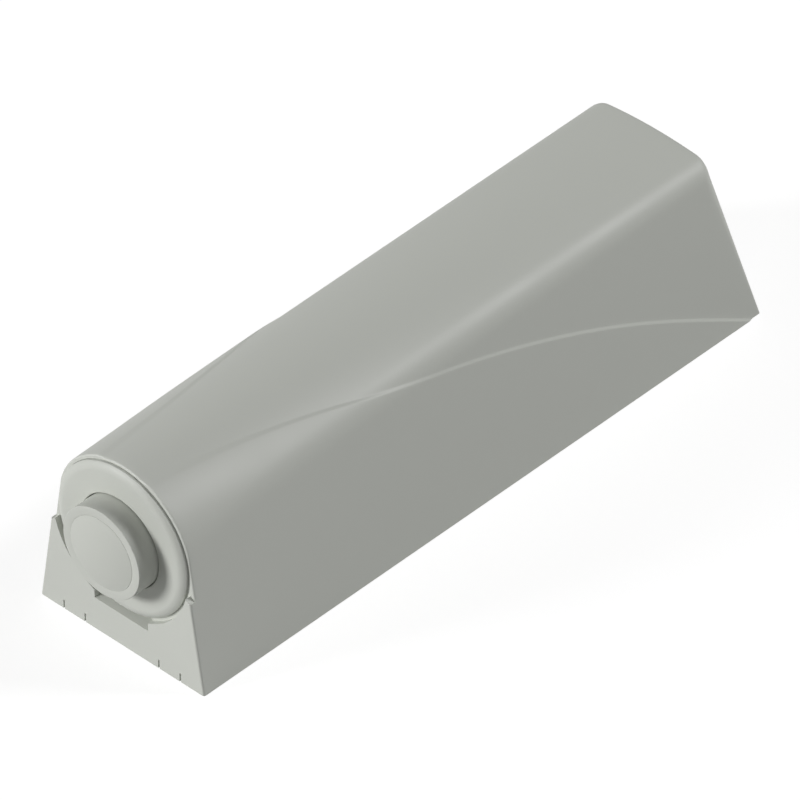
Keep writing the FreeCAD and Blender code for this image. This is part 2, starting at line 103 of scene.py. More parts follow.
def make_mesh(name: str, points: np.ndarray, faces: list[list[int]]) -> bpy.types.Object:
    """Makes an object from points in millimetres along Y from the bib's front face.

    Args:
        name: The object's name.
        points: One row of X, Y, Z for each vertex.
        faces: Vertex numbers of each face.

    Returns:
        The object, at the origin, with its doubles merged and its faces outwards.
    """
    placed = (points - np.array([0.0, DATUM_FROM_FRONT, 0.0])) * MM
    mesh = bpy.data.meshes.new(name)
    mesh.from_pydata(placed.tolist(), [], faces)
    work = bmesh.new()
    work.from_mesh(mesh)
    bmesh.ops.remove_doubles(work, verts=work.verts, dist=MERGE_WITHIN)
    bmesh.ops.recalc_face_normals(work, faces=work.faces)
    work.to_mesh(mesh)
    work.free()
    piece = bpy.data.objects.new(name, mesh)
    bpy.context.scene.collection.objects.link(piece)
    return piece


def grid_faces(rows: int, columns: int, wrap: bool = False) -> list[list[int]]:
    """Quads of a grid whose vertices are numbered row by row.

    Args:
        rows: How many rows of vertices.
        columns: How many vertices in a row.
        wrap: Whether the last column joins the first.

    Returns:
        One list of four vertex numbers for each face.
    """
    across = np.arange(columns if wrap else columns - 1)
    start = (np.arange(rows - 1) * columns)[:, None]
    right = (across + 1) % columns
    low = np.stack([start + across, start + right], axis=-1)
    quads = np.concatenate([low, low[..., ::-1] + columns], axis=-1)
    return quads.reshape(-1, 4).tolist()


def turned(name: str, profile: np.ndarray, segments: int = 160) -> bpy.types.Object:
    """Turns a profile about the pin axis.

    The surface is (r sin t, y, axis height + r cos t), where (r, y) runs along the profile and
    t goes round. A profile that ends off the axis is a closed loop.

    Args:
        name: The object's name.
        profile: One row of radius and Y for each point.
        segments: How many steps go round.

    Returns:
        The closed piece.
    """
    if profile[0, 0] > 0:
        profile = np.vstack([profile, profile[:1]])
    turn = np.arange(segments) * 2 * np.pi / segments
    radius, along = profile[:, :1], profile[:, 1:]
    x = radius * np.sin(turn)
    z = PIN_HEIGHT + radius * np.cos(turn)
    y = np.broadcast_to(along, x.shape)
    points = np.stack([x, y, z], axis=-1).reshape(-1, 3)
    return make_mesh(name, points, grid_faces(len(profile), segments, wrap=True))


def stack(name: str, outlines: np.ndarray) -> bpy.types.Object:
    """Joins outlines of equal counts into a closed solid.

    Vertex (i, j) is point j of outline i. The first and the last outline close it as flat
    faces.

    Args:
        name: The object's name.
        outlines: An array of outlines, points and X, Y, Z.

    Returns:
        The closed piece.
    """
    count, sides = outlines.shape[:2]
    faces = grid_faces(count, sides, wrap=True)
    faces.append(list(range(sides)))
    faces.append(list(range((count - 1) * sides, count * sides)))
    return make_mesh(name, outlines.reshape(-1, 3), faces)


def along_y(name: str, outline: np.ndarray, start: float, end: float) -> bpy.types.Object:
    """Carries an X, Z outline straight along Y.

    Args:
        name: The object's name.
        outline: One row of X and Z for each point.
        start: The first Y.
        end: The last Y.

    Returns:
        The closed piece.
    """
    ends = []
    for y in (start, end):
        ends.append(np.column_stack([outline[:, 0], np.full(len(outline), y), outline[:, 1]]))
    return stack(name, np.array(ends))


def block(name: str, low: tuple[float, ...], high: tuple[float, ...]) -> bpy.types.Object:
    """Makes a plain box between two corners.

    Args:
        name: The object's name.
        low: The corner with the lowest X, Y and Z.
        high: The opposite corner.

    Returns:
        The closed box.
    """
    (x0, y0, z0), (x1, y1, z1) = low, high
    return along_y(name, np.array([(x0, z0), (x1, z0), (x1, z1), (x0, z1)]), y0, y1)


def circle(radius: float, segments: int, z: float = PIN_HEIGHT) -> np.ndarray:
    """Points of a circle in X and Z, (r sin t, z + r cos t).

    Args:
        radius: Its radius.
        segments: How many points it has.
        z: Where its middle lies on the second axis.

    Returns:
        One row of two figures for each point.
    """
    turn = np.arange(segments) * 2 * np.pi / segments
    return np.column_stack([radius * np.sin(turn), z + radius * np.cos(turn)])


def arc(
    centre: tuple[float, float], radius: float, start: float, end: float, steps: int
) -> np.ndarray:
    """Points of an arc in a plane: centre + radius (cos t, sin t).

    Args:
        centre: The arc's centre.
        radius: Its radius.
        start: The first t, in degrees.
        end: The last t.
        steps: How many straight pieces the arc has.

    Returns:
        One row of two figures for each point.
    """
    turn = np.radians(np.linspace(start, end, steps + 1))
    return np.column_stack([centre[0] + radius * np.cos(turn), centre[1] + radius * np.sin(turn)])


class Cut(Enum):
    """How a piece meets another."""

    LESS = "DIFFERENCE"
    PLUS = "UNION"
    BOTH = "INTERSECT"


def cut(piece: bpy.types.Object, how: Cut, *others: bpy.types.Object) -> bpy.types.Object:
    """Cuts or joins a piece with others, which are used up.

    Args:
        piece: The piece that changes.
        how: Whether the others are taken away, added or kept in common.
        others: Closed pieces.

    Returns:
        The same piece with its new mesh.
    """
    for other in others:
        change = piece.modifiers.new("cut", "BOOLEAN")
        change.operation = how.value
        change.solver = "EXACT"
        change.object = other
    settled = piece.evaluated_get(bpy.context.evaluated_depsgraph_get())
    old = piece.data
    mesh = bpy.data.meshes.new_from_object(settled)
    piece.modifiers.clear()
    piece.data = mesh
    mesh.name = piece.name
    bpy.data.meshes.remove(old)
    for other in others:
        bpy.data.meshes.remove(other.data)
    return piece


def smooth(piece: bpy.types.Object, angle: float = EVEN) -> bpy.types.Object:
    """Shades a piece smooth but for edges sharper than an angle.

    Args:
        piece: The piece to shade.
        angle: Edges that turn more than this, in degrees, stay sharp.

    Returns:
        The same piece.
    """
    mesh = piece.data
    mesh.polygons.foreach_set("use_smooth", np.ones(len(mesh.polygons), bool))
    mesh.set_sharp_from_angle(angle=np.radians(angle))
    weight = piece.modifiers.new("even shading", "WEIGHTED_NORMAL")
    weight.mode = "FACE_AREA"
    weight.keep_sharp = True
    return piece


# Finishes


def pattern_group(name: str, sizes: dict[str, float]) -> bpy.types.ShaderNodeTree:
    """Starts the node group of a pattern that several finishes share.

    Args:
        name: The group's name.
        sizes: Each size that the pattern takes in, in millimetres, and its usual value.

    Returns:
        The group, which takes the sizes and a place, and gives a height and a tone.
    """
    group = bpy.data.node_groups.new(name, "ShaderNodeTree")
    for size, value in sizes.items():
        socket = group.interface.new_socket(size, in_out="INPUT", socket_type="NodeSocketFloat")
        socket.default_value = value
    group.interface.new_socket("Place", in_out="INPUT", socket_type="NodeSocketVector")
    for result in ("Height", "Tone"):
        group.interface.new_socket(result, in_out="OUTPUT", socket_type="NodeSocketFloat")
    return group


def noise_of_size(
    group: bpy.types.ShaderNodeTree,
    place: bpy.types.NodeSocket,
    size: bpy.types.NodeSocket,
    detail: float,
) -> bpy.types.NodeSocket:
    """Adds a noise whose lumps have a size in millimetres.

    Args:
        group: The group that it goes into.
        place: Where the surface point is, in metres.
        size: The size of a lump.
        detail: How many finer layers the noise has.

    Returns:
        The socket that gives the noise, from 0 to 1.
    """
    scale = group.nodes.new("ShaderNodeMath")
    scale.operation = "DIVIDE"
    scale.inputs[0].default_value = 1 / MM
    group.links.new(size, scale.inputs[1])
    noise = group.nodes.new("ShaderNodeTexNoise")
    noise.inputs["Detail"].default_value = detail
    group.links.new(place, noise.inputs["Vector"])
    group.links.new(scale.outputs[0], noise.inputs["Scale"])
    return noise.outputs["Fac"]


def grain_group() -> bpy.types.ShaderNodeTree:
    """The fine grain and faint mottle of moulded surfaces, shared by the finishes.

    Returns:
        A node group whose height is the grain and whose tone is the mottle.
    """
    found = bpy.data.node_groups.get("moulding_grain")
    if found:
        return found
    group = pattern_group("moulding_grain", {"Grain Size": 0.12, "Mottle Size": 6.0})
    into = group.nodes.new("NodeGroupInput")
    out = group.nodes.new("NodeGroupOutput")
    for size, result, detail in (("Grain Size", "Height", 2.0), ("Mottle Size", "Tone", 3.0)):
        noise = noise_of_size(group, into.outputs["Place"], into.outputs[size], detail)
        group.links.new(noise, out.inputs[result])
    return group


def drawn_group() -> bpy.types.ShaderNodeTree:
    """The fine lines that drawing or turning leaves on steel: a noise drawn out along Y.

    Returns:
        A node group whose height and tone are both the lines.
    """
    found = bpy.data.node_groups.get("drawn_lines")
    if found:
        return found
    group = pattern_group("drawn_lines", {"Line Size": 0.1})
    into = group.nodes.new("NodeGroupInput")
    out = group.nodes.new("NodeGroupOutput")
    squeeze = group.nodes.new("ShaderNodeVectorMath")
    squeeze.operation = "MULTIPLY"
    squeeze.inputs[1].default_value = (1.0, LINE_SQUEEZE, 1.0)
    group.links.new(into.outputs["Place"], squeeze.inputs[0])
    noise = noise_of_size(group, squeeze.outputs[0], into.outputs["Line Size"], 4.0)
    for result in ("Height", "Tone"):
        group.links.new(noise, out.inputs[result])
    return group


@dataclass(frozen=True)
class Finish:
    """A surface finish: a colour that varies a little, a roughness and a fine relief.

    tone_spread is how far the colour swings either way, as a share, and roughness_spread how
    far the roughness does. relief is the height of the grain.
    """

    name: str
    colour: tuple[float, float, float]
    roughness: float = 0.5
    specular: float = 0.5
    metallic: float = 0.0
    tone_spread: float = 0.015
    roughness_spread: float = 0.04
    relief: float = 0.002
    grain_size: float = 0.12
    mottle_size: float = 6.0
    sheen: float = 0.0

    def pattern(self, tree: bpy.types.NodeTree) -> bpy.types.Node:
        """Places the shared grain in a material and gives it this finish's sizes.

        Args:
            tree: The material's node tree.

        Returns:
            The node that gives the height and the tone.
        """
        node = tree.nodes.new("ShaderNodeGroup")
        node.node_tree = grain_group()
        node.inputs["Grain Size"].default_value = self.grain_size
        node.inputs["Mottle Size"].default_value = self.mottle_size
        return node

    def material(self) -> bpy.types.Material:
        """Builds the finish, or gives the one already built.

        Returns:
            The material, whose pattern follows Object coordinates.
        """
        found = bpy.data.materials.get(self.name)
        if found:
            return found
        material = bpy.data.materials.new(self.name)
        material.use_nodes = True
        tree = material.node_tree
        shader = tree.nodes["Principled BSDF"]
        shader.inputs["Specular IOR Level"].default_value = self.specular
        shader.inputs["Metallic"].default_value = self.metallic
        shader.inputs["Sheen Weight"].default_value = self.sheen
        place = tree.nodes.new("ShaderNodeTexCoord")
        pattern = self.pattern(tree)
        tree.links.new(place.outputs["Object"], pattern.inputs["Place"])
        colour = tree.nodes.new("ShaderNodeMix")
        colour.data_type = "RGBA"
        low = np.array(self.colour) * (1 - self.tone_spread)
        high = np.array(self.colour) * (1 + self.tone_spread)
        colour.inputs["A"].default_value = (*low, 1.0)
        colour.inputs["B"].default_value = (*high, 1.0)
        tree.links.new(pattern.outputs["Tone"], colour.inputs["Factor"])
        tree.links.new(colour.outputs["Result"], shader.inputs["Base Color"])
        rough = tree.nodes.new("ShaderNodeMapRange")
        rough.inputs["To Min"].default_value = self.roughness - self.roughness_spread
        rough.inputs["To Max"].default_value = self.roughness + self.roughness_spread
        tree.links.new(pattern.outputs["Tone"], rough.inputs["Value"])
        tree.links.new(rough.outputs["Result"], shader.inputs["Roughness"])
        bump = tree.nodes.new("ShaderNodeBump")
        bump.inputs["Strength"].default_value = 1.0
        bump.inputs["Distance"].default_value = self.relief * MM
        tree.links.new(pattern.outputs["Height"], bump.inputs["Height"])
        tree.links.new(bump.outputs["Normal"], shader.inputs["Normal"])
        return material


@dataclass(frozen=True)
class DrawnFinish(Finish):
    """A steel finish with fine lines along the pin."""

    metallic: float = 1.0
    roughness: float = 0.35

    def pattern(self, tree: bpy.types.NodeTree) -> bpy.types.Node:
        """Places the shared drawn lines in a material and gives them this finish's size.

        Args:
            tree: The material's node tree.

        Returns:
            The node that gives the height and the tone.
        """
        node = tree.nodes.new("ShaderNodeGroup")
        node.node_tree = drawn_group()
        node.inputs["Line Size"].default_value = self.grain_size
        return node


GREY = (0.600, 0.617, 0.570)

FINISHES = {
    Slot.HOUSING: Finish("cover_moulding", GREY, roughness=0.55, specular=0.95),
    Slot.PLATE: Finish("plate_moulding", (0.56, 0.575, 0.535), roughness=0.5),
    Slot.FLANGE: Finish("flange_moulding", GREY, roughness=0.5),
    Slot.PLUNGER: Finish("slider_moulding", (0.62, 0.635, 0.595), roughness=0.34, relief=0.001),
    Slot.NOSE: Finish("head_moulding", GREY, roughness=0.5),
    Slot.CAM: Finish("cam_moulding", (0.66, 0.665, 0.62), roughness=0.36, relief=0.001),
    Slot.PAD: Finish("tip_rubber", GREY, roughness=0.6, specular=0.4, sheen=0.05),
    Slot.SOFT: Finish("black_rubber", (0.06, 0.06, 0.062), roughness=0.62, specular=0.4),
    Slot.STEEL: DrawnFinish("turned_steel", (0.56, 0.57, 0.58)),
    Slot.SPRING: DrawnFinish("spring_wire", (0.40, 0.41, 0.43), roughness=0.3),
}


def dress(
    piece: bpy.types.Object, finish: Slot, body: Body | None = None, stands_for: str = ""
) -> None:
    """Gives a piece its finish and its place in the catch.

    Args:
        piece: The piece.
        finish: Its finish.
        body: The body that a new piece moves with.
        stands_for: The node that a new piece replaces.
    """
    piece.data.materials.clear()
    piece.data.materials.append(FINISHES[finish].material())
    if body:
        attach(piece, body.value)
        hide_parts(stands_for)
    log.info("%s: %d faces, %s", piece.name, len(piece.data.polygons), finish.value)


# Housing


@dataclass(frozen=True)
class Arcs:
    """The crown's and the shoulder's arc of the housing's cross-section, at each station.

    The crown's centre lies on the middle plane. meet is the angle from X, in radians, at which
    the shoulder takes over from the crown, and draft the one at which the side line begins.
    """

    crown_radius: np.ndarray
    crown_z: np.ndarray
    shoulder_radius: np.ndarray
    shoulder_x: np.ndarray
    shoulder_z: np.ndarray
    meet: np.ndarray
    draft: float

    @property
    def crown_run(self) -> np.ndarray:
        """Arc length from the middle plane to the shoulder."""
        return self.crown_radius * (np.pi / 2 - self.meet)

    @property
    def shoulder_run(self) -> np.ndarray:
        """Arc length of the shoulder."""
        return self.shoulder_radius * (self.meet - self.draft)

    @property
    def side_top(self) -> np.ndarray:
        """Height at which the side line begins."""
        return self.shoulder_z + self.shoulder_radius * np.sin(self.draft)

    def down_side(self, s: np.ndarray) -> np.ndarray:
        """How far down the side line the points at arc lengths s lie, and 0 above it."""
        return np.maximum(s - self.crown_run - self.shoulder_run, 0.0)


@dataclass
class Housing:
    """The moulded cover and the plate that it snaps over."""

    top_front: float = 18.03
    top_fall: float = 1.1
    side_reach: float = 8.80
    side_draft: float = 8.86
    length: float = 65.422
    rear_lean: float = 12.7
    wall: float = 1.35
    arch_radius: float = 7.12
    rear_radius: float = 35.4
    shoulder_front: float = 3.6
    shoulder_rear: float = 2.06
    rear_edge: float = 0.3
    rear_corner: float = 1.1
    rear_foot: float = 0.13
    rim_place: float = RIM_PLACE
    rim_edge: float = 0.16
    front_wall_back: float = 2.2
    crease_step: float = 0.12
    crease_width: float = 0.4
    crease_soft: float = 1.1
    crease_fade: float = 20.0
    crease: tuple[tuple[float, float], ...] = (
        (0.0, 0.013),
        (0.197, 0.067),
        (0.391, 0.168),
        (0.619, 0.387),
        (0.792, 0.634),
        (0.992, 1.01),
    )
    below: float = 1.5
    overcut: float = 1.0
    skin_row_count: int = 110
    skin_columns: int = 64
    room_rows: int = 40
    room_columns: int = 24
    edge_steps: int = 8
    crease_steps: int = 8
    crease_samples: int = 400
    plain_run: float = 0.5
    rounds: int = 6

    ear_height: float = 8.65
    ear_flat: float = 0.15
    ear_rise: float = 0.3
    seat_radius: float = 7.38
    bib_edge: float = 0.2
    bib_back: float = 1.15
    bib_steps: int = 10
    seat_steps: int = 120
    skin: float = 0.001
    gap_inner: float = 6.8
    gap_outer: float = 7.02
    gap_end: float = 0.85

    tube_radius: float = 6.2
    tube_end: float = 56.85
    tube_steps: int = 96
    bore_radius: float = 5.0
    bore_end: float = 59.65
    bore_steps: int = 120
    slot_half: float = 2.95
    slot_floor: float = 3.2
    slot_depth: float = 1.2
    slot_ramp: float = 0.25
    slot_top: float = 4.13
    marks: tuple[float, ...] = (-6.42, -4.07, 4.07, 6.42)
    mark_width: float = 0.16
    mark_height: float = 0.87
    mark_depth: float = 0.12
    screws: tuple[float, ...] = (14.0, 46.0)

    plate_half: float = 7.0475
    plate_foot_half: float = 6.2975
    plate_front: float = 2.35
    plate_rear: float = 63.257
    plate_levels: tuple[float, ...] = (0.0, 1.2, 2.55, 2.8)
    plate_corner: float = 0.8
    plate_chamfer: float = 0.25
    corner_steps: int = 8
    screw_hole: float = 1.9
    screw_head: float = 3.6
    screw_steps: int = 64

    hook_reach: float = 6.4975
    hook_half_length: float = 4.0
    hook_low: float = 0.35
    hook_high: float = 1.0

    def section(
        self, y: np.ndarray, s: np.ndarray, grow: np.ndarray | float
    ) -> tuple[np.ndarray, np.ndarray]:
        """Points of the cross-section at y, an arc length s down from the crown.

        The section is a crown arc, a shoulder arc that touches it from inside, and a side line
        that leans inwards. On the crown the angle from X is 90 degrees - s / R, on the shoulder
        it falls by (s - crown length) / r, and beyond it the point goes straight down the side.
        grow moves the point out along the normal, (cos angle, sin angle).

        Args:
            y: Stations, broadcast against s.
            s: Arc lengths.
            grow: Distance outwards.

        Returns:
            X and Z.
        """
        arcs = self.arcs(y)
        on_crown = s < arcs.crown_run
        turn = np.maximum(arcs.meet - (s - arcs.crown_run) / arcs.shoulder_radius, self.draft)
        angle = np.where(on_crown, np.pi / 2 - s / arcs.crown_radius, turn)
        radius = np.where(on_crown, arcs.crown_radius, arcs.shoulder_radius)
        x = np.where(on_crown, 0.0, arcs.shoulder_x) + radius * np.cos(angle)
        z = np.where(on_crown, arcs.crown_z, arcs.shoulder_z) + radius * np.sin(angle)
        down = arcs.down_side(s)
        x = x + down * np.sin(self.draft) + grow * np.cos(angle)
        z = z - down * np.cos(self.draft) + grow * np.sin(angle)
        return x, z

    @property
    def draft(self) -> float:
        """How far the sides lean inwards, in radians."""
        return float(np.radians(self.side_draft))

    @property
    def lean(self) -> float:
        """How far the rear face comes forward for each millimetre of height."""
        return float(np.tan(np.radians(self.rear_lean)))

    @property
    def steep(self) -> float:
        """Share of a distance along Y that counts square to the rear face."""
        return float(np.cos(np.radians(self.rear_lean)))

    def arcs(self, y: np.ndarray) -> Arcs:
        """Radii and centres of the section at y.

        The crown's curvature and the shoulder's radius go evenly from front to rear. The
        shoulder's centre lies on the side line moved in by r, at R - r from the crown's
        centre, which gives a quadratic for its height.

        Args:
            y: Stations.

        Returns:
            The two arcs at each station.
        """
        crown_end = self.length - self.lean * (self.top_front - self.top_fall)
        share = np.maximum(y, 0.0) / crown_end
        blend = np.minimum(share, 1.0)
        crown = 1.0 / ((1 - blend) / self.arch_radius + blend / self.rear_radius)
        shoulder = self.shoulder_front + (self.shoulder_rear - self.shoulder_front) * blend
        centre = self.top_front - self.top_fall * share - crown
        cosine, slope = np.cos(self.draft), np.tan(self.draft)
        inset = (self.side_reach - shoulder) / cosine
        a = 1 + slope**2
        b = -2 * inset * slope - 2 * centre
        c = inset**2 + centre**2 - (crown - shoulder) ** 2
        cz = (-b + np.sqrt(b * b - 4 * a * c)) / (2 * a)
        cx = inset - slope * cz
        meet = np.arctan2(cz - centre, cx)
        return Arcs(crown, centre, shoulder, cx, cz, meet, self.draft)

    def run_to(self, y: np.ndarray, height: np.ndarray | float) -> np.ndarray:
        """Arc length from the crown down to a height.

        Args:
            y: Stations.
            height: Z at each station.

        Returns:
            The arc length, from whichever of crown, shoulder and side holds that height.
        """
        arcs = self.arcs(y)
        on_crown = np.arcsin(np.clip((height - arcs.crown_z) / arcs.crown_radius, -1, 1))
        on_shoulder = np.arcsin(np.clip((height - arcs.shoulder_z) / arcs.shoulder_radius, -1, 1))
        turn = np.maximum(on_shoulder, self.draft)
        down = np.maximum(arcs.side_top - height, 0.0) / np.cos(self.draft)
        above = arcs.crown_radius * (np.pi / 2 - on_crown)
        below = arcs.crown_run + arcs.shoulder_radius * (arcs.meet - turn) + down
        return np.where(on_crown > arcs.meet, above, below)

    def crease_height(self, y: np.ndarray) -> np.ndarray:
        """Height of the crease at y.

        A natural cubic runs through the crease's points with the straight distance between
        them as its parameter: its second derivatives solve a banded system, and each piece is
        the line between two points plus their cubic terms.

        Args:
            y: Stations.

        Returns:
            Z of the crease.
        """
        shares = np.array(self.crease)
        points = np.column_stack([shares[:, 0] * self.length, self.top_front * (1 - shares[:, 1])])
        gap = np.linalg.norm(np.diff(points, axis=0), axis=1)
        knots = np.concatenate([[0.0], np.cumsum(gap)])
        count = len(knots)
        system = np.eye(count)
        inner = np.arange(1, count - 1)
        system[inner, inner - 1] = gap[:-1] / 6
        system[inner, inner] = (gap[:-1] + gap[1:]) / 3
        system[inner, inner + 1] = gap[1:] / 6
        right = np.zeros_like(points)
        rise = np.diff(points, axis=0) / gap[:, None]
        right[1:-1] = np.diff(rise, axis=0)
        bend = np.linalg.solve(system, right)
        at = np.linspace(0, knots[-1], self.crease_samples)
        piece = np.clip(np.searchsorted(knots, at, side="right") - 1, 0, count - 2)
        width = gap[piece][:, None]
        left = (knots[piece + 1] - at)[:, None] / width
        ahead = 1 - left
        curve = left * points[piece] + ahead * points[piece + 1]
        cubic = (left**3 - left) * bend[piece] + (ahead**3 - ahead) * bend[piece + 1]
        curve += cubic * width**2 / 6
        return np.interp(y, curve[:, 0], curve[:, 1])

    def rear_radius_at(self, y: np.ndarray, s: np.ndarray) -> np.ndarray:
        """Radius of the rear's rounded edge: small over the crown and at the foot.

        It goes by t^2 (3 - 2t) to the corner's radius, where t is the share of the shoulder's
        arc that is behind the point, and then straight to the foot's radius down the side.

        Args:
            y: Stations.
            s: Arc lengths down from the crown.

        Returns:
            The radius at each point.
        """
        arcs = self.arcs(y)
        share = np.clip((s - arcs.crown_run) / arcs.shoulder_run, 0, 1)
        blend = share**2 * (3 - 2 * share)
        fall = np.clip(arcs.down_side(s) * np.cos(self.draft) / arcs.side_top, 0, 1)
        corner = self.rear_corner + (self.rear_foot - self.rear_corner) * fall
        return self.rear_edge + (corner - self.rear_edge) * blend

    def skin_rows(self, rows: np.ndarray, creased: bool, columns: int) -> np.ndarray:
        """Points of the skin, row by row, from the left foot over the crown to the right one.

        Each row has five figures: its Y at the base, how far it leans from 0 to 1, how far it
        lies inside the skin, and how many radii of the rear's rounded edge it lies ahead of
        that Y and inside the skin. A point stands at y = start - lean z - radii ahead, and z is
        found by going round a few times. Columns follow the crease: above it, across its step
        and below it. Without a crease they part at the plain run. The step lifts the skin by
        t^2 (3 - 2t) of its height, where t goes from 0 to 1 across its width, which is largest
        at the front and falls by the square of what is left of the fade.

        Args:
            rows: One row of the five figures for each row of points.
            creased: Whether the skin has the crease's step.
            columns: How many columns lie above and below the crease on each side.

        Returns:
            An array of rows, columns and X, Y, Z.
        """
        start, weight, inset, ahead, inside = (rows[:, [k]] for k in range(5))
        even = np.linspace(0, 1, columns + 1)
        step = np.linspace(0, 1, self.crease_steps + 1)
        across = slice(columns, columns + len(step))
        under = slice(columns + len(step), None)
        y = np.repeat(start, 2 * columns + len(step), axis=1)
        for _ in range(self.rounds):
            low = np.full_like(y, self.plain_run)
            if creased:
                low = self.run_to(y, self.crease_height(y))
            foot = self.run_to(y, -self.below)
            fade = np.clip(1 - y / self.crease_fade, 0, 1) ** 2
            width = self.crease_width + (self.crease_soft - self.crease_width) * fade
            upper = low[:, :columns] * even[:-1]
            middle = low[:, across] + width[:, across] * step
            last = low[:, under] + width[:, under]
            lower = last + (foot[:, under] - last) * even[1:]
            s = np.concatenate([upper, middle, lower], axis=1)
            share = np.clip((s - low) / width, 0, 1)
            lift = self.crease_step * share**2 * (3 - 2 * share) if creased else 0.0
            corner = self.rear_radius_at(y, s)
            x, z = self.section(y, s, lift - inset - inside * corner)
            y = start - weight * self.lean * z - ahead * corner / self.steep
        right = np.stack([x, y, z], axis=-1)
        left = right[:, :0:-1] * np.array([-1.0, 1.0, 1.0])
        return np.concatenate([left, right], axis=1)

    def outer(self) -> bpy.types.Object:
        """The housing's outer form behind the rim, with the rim and the rear rounded.

        Returns:
            A closed solid whose front, rear and bottom are flat.
        """
        turn = np.linspace(0, np.pi / 2, self.edge_steps + 1)
        none, one = np.zeros_like(turn), np.ones_like(turn)
        share = np.linspace(0, 1, self.skin_row_count)[1:]
        front = self.rim_place + self.rim_edge
        rim = [
            self.rim_place + self.rim_edge * (1 - np.cos(turn)),
            none,
            self.rim_edge * (1 - np.sin(turn)),
            none,
            none,
        ]
        body = [front + share * (self.length - front), share, 0 * share, share, 0 * share]
        rear = [one * self.length, one, none, 1 - np.sin(turn), 1 - np.cos(turn)]
        rows = np.vstack([np.stack(rim, 1), np.stack(body, 1), np.stack(rear, 1)[1:]])
        return stack("housing_shell_skin", self.skin_rows(rows, True, self.skin_columns))

    def hollow(self) -> bpy.types.Object:
        """The room inside the walls, with the cartridge's tube and the hooks left standing.

        Returns:
            The closed form to take away.
        """
        share = np.linspace(0, 1, self.room_rows)
        back = self.length - self.wall / self.steep
        start = self.front_wall_back + share * (back - self.front_wall_back)
        rows = np.stack([start, share, np.full_like(share, self.wall), 0 * share, 0 * share], 1)
        room = stack("room", self.skin_rows(rows, False, self.room_columns))
        tube = along_y("tube", circle(self.tube_radius, self.tube_steps), 0.0, self.tube_end)
        hooks = []
        for place in self.screws:
            for side in (-1, 1):
                ends = sorted((side * self.hook_reach, side * 2 * self.hook_reach))
                low = (ends[0], place - self.hook_half_length, self.hook_low)
                high = (ends[1], place + self.hook_half_length, self.hook_high)
                hooks.append(block("hook", low, high))
        return cut(room, Cut.LESS, tube, *hooks)

    def bib(self) -> bpy.types.Object:
        """The face below the pin: two ears, a round seat for the flange, rounded sides.

        Returns:
            The closed solid.
        """
        side = (self.side_reach + self.crease_step + self.skin) / np.cos(self.draft)
        edge = self.bib_edge
        levels = []
        for z in (-self.below, PIN_HEIGHT):
            half = side - np.tan(self.draft) * z
            corner = arc((half - edge, edge), edge, -90, 0, self.bib_steps)
            plan = np.vstack([corner, [(half, self.bib_back)]])
            plan = np.vstack([plan, plan[::-1] * (-1, 1)])
            levels.append(np.column_stack([plan, np.full(len(plan), z)]))
        slab = stack("housing_bib", np.array(levels))
        base = (self.side_reach + self.crease_step) / np.cos(self.draft)
        tip = base - np.tan(self.draft) * self.ear_height - self.ear_flat
        rise = self.ear_height + self.ear_rise
        start = np.degrees(np.arcsin((PIN_HEIGHT - rise) / self.seat_radius))
        seat = arc((0, PIN_HEIGHT), self.seat_radius, -start, start - 180, self.seat_steps)
        wide = 2 * self.side_reach
        right = [(wide, -2 * self.below), (wide, self.ear_height), (tip, self.ear_height)]
        left = [(-x, z) for x, z in reversed(right)]
        ears = along_y("ears", np.vstack([right, seat, left]), -self.overcut, 2 * self.bib_back)
        return cut(slab, Cut.BOTH, ears)

    def openings(self) -> list[bpy.types.Object]:
        """The cuts that open the shell.

        Returns:
            Closed forms for the room, the bore, the slot, the gap, four marks and the base.
        """
        wide, deep = 2 * self.side_reach, -self.overcut
        bore = along_y("bore", circle(self.bore_radius, self.bore_steps), deep, self.bore_end)
        slot = [
            (deep, self.slot_floor),
            (0.0, self.slot_floor),
            (self.slot_depth, self.slot_floor + self.slot_ramp),
            (self.slot_depth, self.slot_top),
            (deep, self.slot_top),
        ]
        sides = [[(x, y, z) for y, z in slot] for x in (-self.slot_half, self.slot_half)]
        cuts = [self.hollow(), bore, stack("slot", np.array(sides)), self.seat_gap()]
        for x in self.marks:
            half = self.mark_width / 2
            low, high = (x - half, deep, deep), (x + half, self.mark_depth, self.mark_height)
            cuts.append(block("mark", low, high))
        low, high = (-wide, 2 * deep, -2 * self.below), (wide, 2 * self.length, 0.0)
        return [*cuts, block("base", low, high)]

    def seat_gap(self) -> bpy.types.Object:
        """The narrow gap round the flange's edge.

        Returns:
            A closed ring that goes into the rim.
        """
        inner, outer = self.gap_inner, self.gap_outer
        low, high = self.rim_place - self.overcut, self.gap_end
        return turned("gap", np.array([(inner, low), (outer, low), (outer, high), (inner, high)]))

    def shell(self) -> bpy.types.Object:
        """The moulded cover, one piece.

        Returns:
            The closed shell.
        """
        whole = cut(self.outer(), Cut.PLUS, self.bib())
        whole = cut(whole, Cut.LESS, *self.openings())
        whole.name = whole.data.name = "moulded_cover"
        return smooth(whole)

